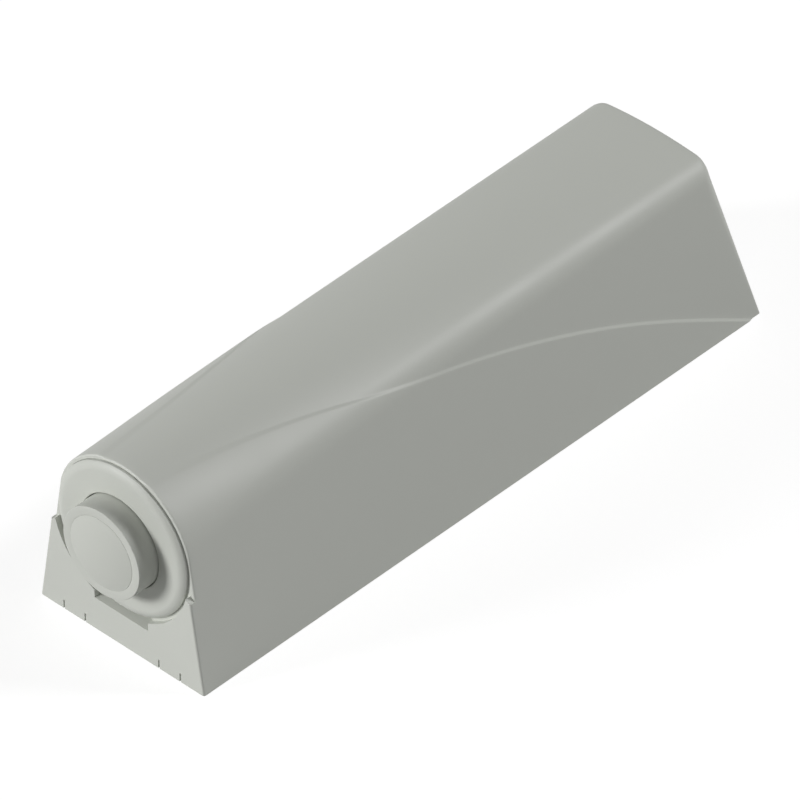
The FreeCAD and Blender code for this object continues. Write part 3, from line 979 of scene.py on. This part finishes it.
    def plate(self) -> bpy.types.Object:
        """The screw-down plate: a narrow foot, a wide top with a bevel, two sunk holes.

        Returns:
            The closed plate.
        """
        foot, top = self.plate_foot_half, self.plate_half
        z0, z1, z2, z3 = self.plate_levels
        bevel = self.plate_chamfer
        steps = ((z0, foot, 0), (z1, foot, 0), (z1, top, 0), (z2, top, 0), (z3, top, bevel))
        levels = [self.plate_outline(z, half - less, less) for z, half, less in steps]
        plate = stack("screw_down_plate", np.array(levels))
        sink = self.screw_head - self.screw_hole
        cuts = []
        for place in self.screws:
            rings = []
            for radius, z in (
                (self.screw_hole, -self.overcut),
                (self.screw_hole, z3 - sink),
                (self.screw_head + self.overcut, z3 + self.overcut),
            ):
                ring = circle(radius, self.screw_steps, place)
                rings.append(np.column_stack([ring, np.full(len(ring), z)]))
            cuts.append(stack("screw", np.array(rings)))
        return smooth(cut(plate, Cut.LESS, *cuts), SHARP)

    def plate_outline(self, z: float, half: float, less: float) -> np.ndarray:
        """One level of the plate: a rectangle with round corners.

        Args:
            z: The level.
            half: Half the width.
            less: How far the ends are drawn in.

        Returns:
            The outline's points.
        """
        r, steps = self.plate_corner, self.corner_steps
        front, back = self.plate_front + less, self.plate_rear - less
        corners = [
            arc((half - r, back - r), r, 0, 90, steps),
            arc((r - half, back - r), r, 90, 180, steps),
            arc((r - half, front + r), r, 180, 270, steps),
            arc((half - r, front + r), r, 270, 360, steps),
        ]
        outline = np.vstack(corners)
        return np.column_stack([outline, np.full(len(outline), z)])

    def build(self) -> None:
        """Makes the cover and the plate and dresses them."""
        dress(self.shell(), Slot.HOUSING, Body.HOUSING, "housing_shell")
        dress(self.plate(), Slot.PLATE, Body.HOUSING, "mounting_plate")


# Cartridge, pin and spring


@dataclass
class Cartridge:
    """The plug-in sleeve with its flange and the soft ring in its mouth."""

    flange_radius: float = 7.0
    flange_front: float = 0.0
    flange_round: float = 1.1
    flange_drop: float = 0.32
    rim_place: float = RIM_PLACE
    outer: float = 4.95
    bore: float = SLEEVE_BORE
    end: float = 57.8
    mouth_edge: float = 0.1
    ring_bed: tuple[float, float] = (1.2, 2.4)
    ring_bed_depth: float = 0.34
    clip_bed: tuple[float, float] = (56.9, 57.4)
    clip_bed_depth: float = 0.25
    ring_inner: float = 4.22
    ring_edge: float = 0.12
    fit: float = 0.02
    key: tuple[float, float] = (5.0, 8.0)
    key_half: float = 0.5
    key_height: float = 0.4
    key_root: float = 0.25
    flange_steps: int = 14
    mouth_steps: int = 5
    lip_steps: int = 6

    def sleeve(self) -> bpy.types.Object:
        """The sleeve: a flat flange with a rounded edge, a long barrel, beds for two rings.

        Returns:
            The closed sleeve with the key that stops the pin from turning.
        """
        face, r, e = self.flange_front, self.flange_round, self.mouth_edge
        turn = np.degrees(np.arccos(1 - self.flange_drop / r))
        centre = self.flange_radius - r * np.sin(np.radians(turn))
        edge = arc((centre, face + r), r, -90, turn - 90, self.flange_steps)
        mouth = arc((self.bore + e, face + e), e, 180, 270, self.mouth_steps)
        low, high = self.ring_bed
        back, front = self.clip_bed[1], self.clip_bed[0]
        deep = self.bore + self.ring_bed_depth
        bed = self.outer - self.clip_bed_depth
        profile = np.vstack([
            mouth,
            edge,
            [(self.flange_radius, self.rim_place), (self.outer, self.rim_place)],
            [(self.outer, front), (bed, front), (bed, back)],
            [(self.outer, back), (self.outer, self.end), (self.bore, self.end)],
            [(self.bore, high), (deep, high), (deep, low), (self.bore, low)],
        ])
        sleeve = turned("flanged_sleeve", profile)
        start, end = self.key
        foot = PIN_HEIGHT - self.bore
        root = (-self.key_half, start, foot - self.key_root)
        key = block("key", root, (self.key_half, end, foot + self.key_height))
        return smooth(cut(sleeve, Cut.PLUS, key), CRISP)

    def guide(self) -> bpy.types.Object:
        """The soft ring that steadies the pin, with rounded lips.

        Returns:
            The closed ring.
        """
        low, high = self.ring_bed[0] + self.fit, self.ring_bed[1] - self.fit
        inner, outer = self.ring_inner, self.bore + self.ring_bed_depth - self.fit
        r = self.ring_edge
        profile = np.vstack([
            arc((inner + r, low + r), r, 180, 270, self.lip_steps),
            [(outer, low), (outer, high)],
            arc((inner + r, high - r), r, 90, 180, self.lip_steps),
        ])
        return smooth(turned("guide_lip_ring", profile), CRISP)

    def build(self) -> None:
        """Makes the sleeve and its ring and dresses them."""
        dress(self.sleeve(), Slot.FLANGE, Body.HOUSING, "cartridge_barrel")
        dress(self.guide(), Slot.SOFT, Body.HOUSING, "guide_ring")


@dataclass
class Pin:
    """The parts that the door meets: the sliding tube, its turning head and the soft tip."""

    radius: float = 4.18
    face: float = -2.05
    head_back: float = 3.5
    head_edge: float = 0.06
    lip_edge: float = 0.02
    pad_bore: float = 3.385
    pad_floor: float = -1.37
    pad_radius: float = 3.38
    pad_rim: float = -2.07
    pad_crown: float = -2.52
    pad_edge: float = 0.03
    hollow: tuple[float, float] = (2.3, 3.4)
    hollow_floor: float = 1.3
    stud_bore: float = 1.41
    stud_front: float = -1.07

    tube_front: float = 3.7
    tube_edge: float = 0.1
    guide_end: float = 29.2
    click_bore: float = 3.3
    click_floor: float = 5.6
    stud_way: float = 1.46
    spring_seat: float = 9.2
    spring_bore: float = 2.4
    tail: float = 3.3
    journal: float = 2.95
    journal_front: float = 52.0
    tail_end: float = 55.7
    clip_front: float = 54.8
    clip_length: float = 0.5
    clip_bed: float = 0.25
    keyway_half: float = 0.6
    keyway_top: float = 0.5
    keyway_end: float = 28.1
    sleeve_bore: float = SLEEVE_BORE
    overcut: float = 1.0
    lip_steps: int = 4
    edge_steps: int = 8
    tube_steps: int = 5
    rim_steps: int = 9
    dome_points: int = 40

    def head(self) -> bpy.types.Object:
        """The head: a cap with rounded rims, a round seat in its face and a hollow behind.

        Returns:
            The closed head.
        """
        e, lip = self.head_edge, self.lip_edge
        inner, outer = self.hollow
        profile = np.vstack([
            [(0.0, self.pad_floor), (self.pad_bore, self.pad_floor)],
            arc((self.pad_bore + lip, self.face + lip), lip, 180, 270, self.lip_steps),
            arc((self.radius - e, self.face + e), e, -90, 0, self.edge_steps),
            arc((self.radius - lip, self.head_back - lip), lip, 0, 90, self.lip_steps),
            [(outer, self.head_back), (outer, self.hollow_floor)],
            [(inner, self.hollow_floor), (inner, self.head_back)],
            [(self.stud_bore, self.head_back), (self.stud_bore, self.stud_front)],
            [(0.0, self.stud_front)],
        ])
        return smooth(turned("pin_head", profile), SOFT)

    def tip(self) -> bpy.types.Object:
        """The soft tip: a low dome, y = crown + D - sqrt(D^2 - r^2), and a round edge.

        Returns:
            The closed tip.
        """
        e = self.pad_edge
        reach = self.pad_radius - e
        height = self.pad_rim - self.pad_crown
        dome = (reach**2 + height**2) / (2 * height)
        r = np.linspace(0, reach, self.dome_points)
        face = np.column_stack([r, self.pad_crown + dome - np.sqrt(dome**2 - r**2)])
        start = np.degrees(np.arcsin(reach / dome)) - 90
        rim = arc((reach, self.pad_rim + e), e, start, 0, self.rim_steps)
        back = [(self.pad_radius, self.pad_floor), (0.0, self.pad_floor)]
        return smooth(turned("soft_tip", np.vstack([face, rim, back])), SOFT)

    def slider(self) -> bpy.types.Object:
        """The sliding tube with its guided front, slimmer tail and keyway.

        Returns:
            The closed tube.
        """
        e = self.tube_edge
        clip_back = self.clip_front + self.clip_length
        bed = self.journal - self.clip_bed
        profile = np.vstack([
            [(self.stud_way, self.spring_seat), (self.stud_way, self.click_floor)],
            [(self.click_bore, self.click_floor), (self.click_bore, self.tube_front)],
            arc((self.radius - e, self.tube_front + e), e, -90, 0, self.tube_steps),
            arc((self.radius - e, self.guide_end - e), e, 0, 90, self.tube_steps),
            [(self.tail, self.guide_end), (self.tail, self.journal_front)],
            [(self.journal, self.journal_front), (self.journal, self.clip_front)],
            [(bed, self.clip_front), (bed, clip_back), (self.journal, clip_back)],
            [(self.journal, self.tail_end), (self.spring_bore, self.tail_end)],
            [(self.spring_bore, self.spring_seat)],
        ])
        tube = turned("sliding_tube", profile)
        top = PIN_HEIGHT - self.sleeve_bore + self.keyway_top
        front = self.tube_front - self.overcut
        low = (-self.keyway_half, front, PIN_HEIGHT - 2 * self.radius)
        keyway = block("keyway", low, (self.keyway_half, self.keyway_end, top))
        return smooth(cut(tube, Cut.LESS, keyway), CRISP)

    def build(self) -> None:
        """Makes the head, the tip and the tube and dresses them."""
        dress(self.head(), Slot.NOSE, Body.NOSE, "nose_cap")
        dress(self.tip(), Slot.PAD, Body.NOSE, "bumper_pad")
        dress(self.slider(), Slot.PLUNGER, Body.PLUNGER, "plunger_tube")


@dataclass
class DriveSpring:
    """The coil spring that drives the pin out."""

    front: float = 9.6
    back: float = 57.1
    coil_radius: float = 1.95
    wire_radius: float = 0.25
    turns: int = 21
    steps: int = 32
    wire_sides: int = 12

    def coil(self) -> bpy.types.Object:
        """Winds the wire.

        The surface is (c cos a, y + w sin b, pin height - c sin a) with c = coil radius +
        w cos b. a goes round the coil while y runs evenly from end to end, and b goes round
        the wire, whose radius is w.

        Returns:
            The closed coil.
        """
        share = np.linspace(0, 1, self.turns * self.steps + 1)[:, None]
        around = np.arange(self.wire_sides) * 2 * np.pi / self.wire_sides
        turn = 2 * np.pi * self.turns * share
        reach = self.coil_radius + self.wire_radius * np.cos(around)
        start, end = self.front + self.wire_radius, self.back - self.wire_radius
        y = start + (end - start) * share + self.wire_radius * np.sin(around)
        rings = np.stack([reach * np.cos(turn), y, PIN_HEIGHT - reach * np.sin(turn)], axis=-1)
        return smooth(stack("drive_spring", rings), SOFT)

    def build(self) -> None:
        """Makes the spring where it stands, gives it its finish and hides the node that it
        replaces.
        """
        spring = self.coil()
        dress(spring, Slot.SPRING)
        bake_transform(spring)
        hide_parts("main_spring")


# Studio


@dataclass(frozen=True)
class Lamp:
    """A soft square light that faces the object. Size and distance are in metres."""

    name: str
    direction: tuple[float, float, float]
    power: float
    size: float
    distance: float = 0.8


@dataclass
class Studio:
    """The camera, the floor and the lights.

    unit is what one pixel of the picture covers at the object, in metres. The camera stands
    focal units away from the object's plane and shift units aside and up. middle, clip and
    floor_half are in metres.
    """

    turn: float = 43.41
    tilt: float = 39.67
    unit: float = 0.07878e-3
    focal: float = 10000.0
    shift: tuple[float, float] = (-277.96, -244.87)
    lens: float = 450.0
    sensor: float = 36.0
    middle: tuple[float, float, float] = (0.0, 0.0, 0.010)
    ambient: float = 0.04
    lamps: tuple[Lamp, ...] = (
        Lamp("key", (-0.48, -0.83, 0.29), 4.7, 0.24),
        Lamp("front_right", (0.70, -0.62, 0.35), 0.45, 0.30),
        Lamp("rear_right", (0.48, 0.56, 0.675), 2.9, 0.20),
    )
    floor_half: float = 3.0
    floor_grey: float = 0.40
    floor_glow: float = 0.80
    clip: tuple[float, float] = (0.01, 50.0)

    def camera(self) -> None:
        """Stands the camera at the photograph's place, looking at the photograph's middle."""
        a, e = np.radians(self.turn), np.radians(self.tilt)
        right = np.array([np.cos(a), np.sin(a), 0.0])
        up = np.array([-np.sin(e) * np.sin(a), np.sin(e) * np.cos(a), np.cos(e)])
        back = np.cross(right, up)
        place = (-self.shift[0] * right - self.shift[1] * up + self.focal * back) * self.unit
        place = place - np.array([0.0, DATUM_FROM_FRONT * MM, 0.0])
        data = bpy.data.cameras.new("camera")
        data.lens, data.sensor_width = self.lens, self.sensor
        data.clip_start, data.clip_end = self.clip
        camera = bpy.data.objects.new("camera", data)
        matrix = np.eye(4)
        matrix[:3, 0], matrix[:3, 1], matrix[:3, 2], matrix[:3, 3] = right, up, back, place
        camera.matrix_world = Matrix(matrix.tolist())
        bpy.context.scene.collection.objects.link(camera)
        bpy.context.scene.camera = camera

    def floor(self) -> None:
        """Lays the pale floor, white to the camera but for the object's soft shadow."""
        h = self.floor_half
        mesh = bpy.data.meshes.new("floor")
        mesh.from_pydata([(-h, -h, 0), (h, -h, 0), (h, h, 0), (-h, h, 0)], [], [[0, 1, 2, 3]])
        floor = bpy.data.objects.new("floor", mesh)
        bpy.context.scene.collection.objects.link(floor)
        material = bpy.data.materials.new("floor_white")
        material.use_nodes = True
        tree = material.node_tree
        tree.nodes.clear()
        out = tree.nodes.new("ShaderNodeOutputMaterial")
        add = tree.nodes.new("ShaderNodeAddShader")
        matt = tree.nodes.new("ShaderNodeBsdfDiffuse")
        matt.inputs["Color"].default_value = (*[self.floor_grey] * 3, 1.0)
        glow = tree.nodes.new("ShaderNodeEmission")
        glow.inputs["Color"].default_value = (1.0, 1.0, 1.0, 1.0)
        tree.links.new(self.seen_directly(tree, self.floor_glow), glow.inputs["Strength"])
        tree.links.new(matt.outputs[0], add.inputs[0])
        tree.links.new(glow.outputs[0], add.inputs[1])
        tree.links.new(add.outputs[0], out.inputs["Surface"])
        floor.data.materials.append(material)

    def seen_directly(self, tree: bpy.types.NodeTree, strength: float) -> bpy.types.NodeSocket:
        """A strength for rays from the camera, off gloss or through glass, and none for others.

        Args:
            tree: The node tree.
            strength: The strength.

        Returns:
            The socket that gives it.
        """
        path = tree.nodes.new("ShaderNodeLightPath")
        total = path.outputs["Is Camera Ray"]
        for kind in ("Is Glossy Ray", "Is Transmission Ray"):
            most = tree.nodes.new("ShaderNodeMath")
            most.operation = "MAXIMUM"
            tree.links.new(total, most.inputs[0])
            tree.links.new(path.outputs[kind], most.inputs[1])
            total = most.outputs[0]
        scaled = tree.nodes.new("ShaderNodeMath")
        scaled.operation = "MULTIPLY"
        tree.links.new(total, scaled.inputs[0])
        scaled.inputs[1].default_value = strength
        return scaled.outputs[0]

    def world(self) -> None:
        """Fills the room with even light, white where the camera looks past the floor."""
        world = bpy.data.worlds.new("room")
        world.use_nodes = True
        tree = world.node_tree
        background = tree.nodes["Background"]
        background.inputs["Color"].default_value = (1.0, 1.0, 1.0, 1.0)
        extra = self.seen_directly(tree, 1.0 - self.ambient)
        total = tree.nodes.new("ShaderNodeMath")
        total.operation = "ADD"
        total.inputs[1].default_value = self.ambient
        tree.links.new(extra, total.inputs[0])
        tree.links.new(total.outputs[0], background.inputs["Strength"])
        bpy.context.scene.world = world

    def lights(self) -> None:
        """Hangs the soft lights, each facing the object."""
        middle = Vector(self.middle)
        for lamp in self.lamps:
            data = bpy.data.lights.new(lamp.name, "AREA")
            data.shape, data.size, data.energy = "SQUARE", lamp.size, lamp.power
            light = bpy.data.objects.new(lamp.name, data)
            towards = Vector(lamp.direction).normalized()
            place = Matrix.Translation(middle + towards * lamp.distance)
            light.matrix_world = place @ towards.to_track_quat("Z", "Y").to_matrix().to_4x4()
            bpy.context.scene.collection.objects.link(light)

    def build(self) -> None:
        """Sets up the whole studio."""
        self.camera()
        self.floor()
        self.world()
        self.lights()
        bpy.context.scene.view_settings.view_transform = "Standard"


# Assembly


@dataclass
class HiddenParts:
    """The nodes kept as they are, and the finish of each."""

    finishes: dict[str, Slot] = field(
        default_factory=lambda: {
            "barrel_clip": Slot.SPRING,
            "cam_sleeve": Slot.CAM,
            "end_cap": Slot.CAM,
            "end_buffer": Slot.SOFT,
            "guide_rod": Slot.STEEL,
            "rear_spring_seat": Slot.STEEL,
            "front_spring_seat": Slot.STEEL,
            "thrust_washer": Slot.STEEL,
            "rotor_clip": Slot.SPRING,
            "detent_spring": Slot.SPRING,
            "index_rotor": Slot.CAM,
            "detent_ring": Slot.CAM,
            "adjusting_stud": Slot.STEEL,
        }
    )

    def build(self, nodes: dict[str, bpy.types.Object]) -> None:
        """Dresses the nodes, whose meshes stay as they are.

        Args:
            nodes: The frame's nodes by name.
        """
        for name, finish in self.finishes.items():
            dress(nodes[name], finish)


def main() -> None:
    """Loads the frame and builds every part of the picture."""
    logging.basicConfig(level=logging.INFO, format="%(name)s: %(message)s")
    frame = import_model()
    HiddenParts().build(frame["nodes"])
    Housing().build()
    Cartridge().build()
    Pin().build()
    DriveSpring().build()
    Studio().build()
    bpy.context.view_layer.update()


if __name__ == "__main__":
    main()
